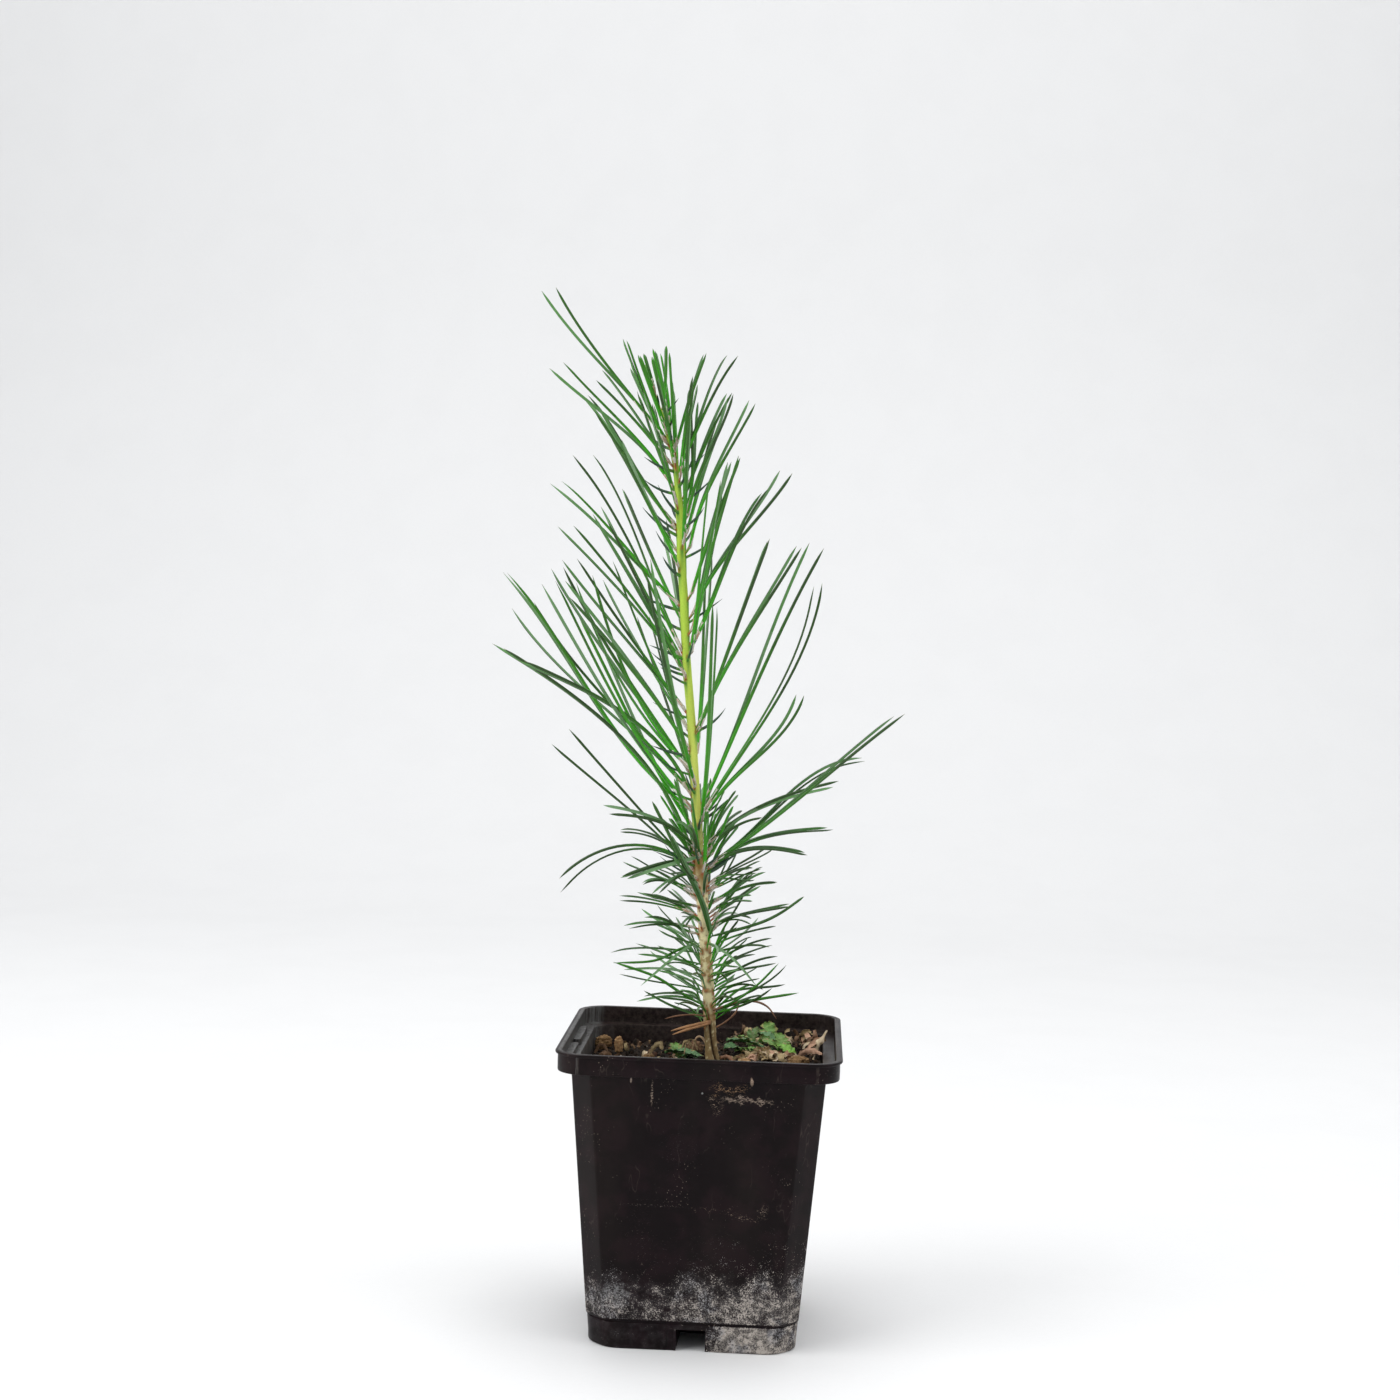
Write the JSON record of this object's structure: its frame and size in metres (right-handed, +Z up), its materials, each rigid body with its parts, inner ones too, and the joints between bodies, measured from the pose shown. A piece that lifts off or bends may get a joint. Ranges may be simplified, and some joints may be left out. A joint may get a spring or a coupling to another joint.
{
  "type": "potted pine seedling",
  "caption": "Young black pine in a square nursery pot: a slim leaning shoot with short needles low down and long paired needles above, rooted in a pot filled with bark soil.",
  "frame": {"origin": "middle of the pot's underside, on the surface that the pot stands on", "axes": "+Z up along the shoot, +X along one side of the pot to the viewer's right, -Y towards the viewer"},
  "size_m": [0.1329, 0.0916, 0.3366],
  "materials": {
    "pot_plastic": "dusty matte black",
    "potting_soil": "crumbly dark brown bark soil",
    "bark": "rough tan bark, green higher up",
    "bud": "scaly green bud",
    "bark_chips": "rough brown bark",
    "moss": "soft crumpled green",
    "leaf_litter": "dry curled tan",
    "short_needles": "satin dark green",
    "long_needles": "satin green"
  },
  "bodies": {
    "root": {"pot": "pot_plastic", "soil": "potting_soil", "bark_chip_1": "bark_chips", "bark_chip_2": "bark_chips", "bark_chip_3": "bark_chips", "bark_chip_4": "bark_chips", "bark_chip_5": "bark_chips", "bark_chip_6": "bark_chips", "bark_chip_7": "bark_chips", "moss_patch_left": "moss", "moss_patch_right": "moss", "moss_patch_back": "moss", "leaf_litter_front": "leaf_litter", "leaf_litter_right": "leaf_litter", "trunk": "bark", "terminal_bud": "bud", "juvenile_brush_right": "short_needles", "juvenile_brush_back": "short_needles", "juvenile_brush_left": "short_needles", "juvenile_brush_front": "short_needles", "short_brush_right": "short_needles", "short_brush_back": "short_needles", "short_brush_left": "short_needles", "short_brush_front": "short_needles", "whorl_right": "long_needles", "whorl_back": "long_needles", "whorl_left": "long_needles", "whorl_front": "long_needles", "long_low_right": "long_needles", "long_low_back": "long_needles", "long_low_left": "long_needles", "long_low_front": "long_needles", "long_middle_right": "long_needles", "long_middle_back": "long_needles", "long_middle_left": "long_needles", "long_middle_front": "long_needles", "long_high_right": "long_needles", "long_high_back": "long_needles", "long_high_left": "long_needles", "long_high_front": "long_needles", "crown_tuft_right": "long_needles", "crown_tuft_back": "long_needles", "crown_tuft_left": "long_needles", "crown_tuft_front": "long_needles"}
  },
  "joints": []
}
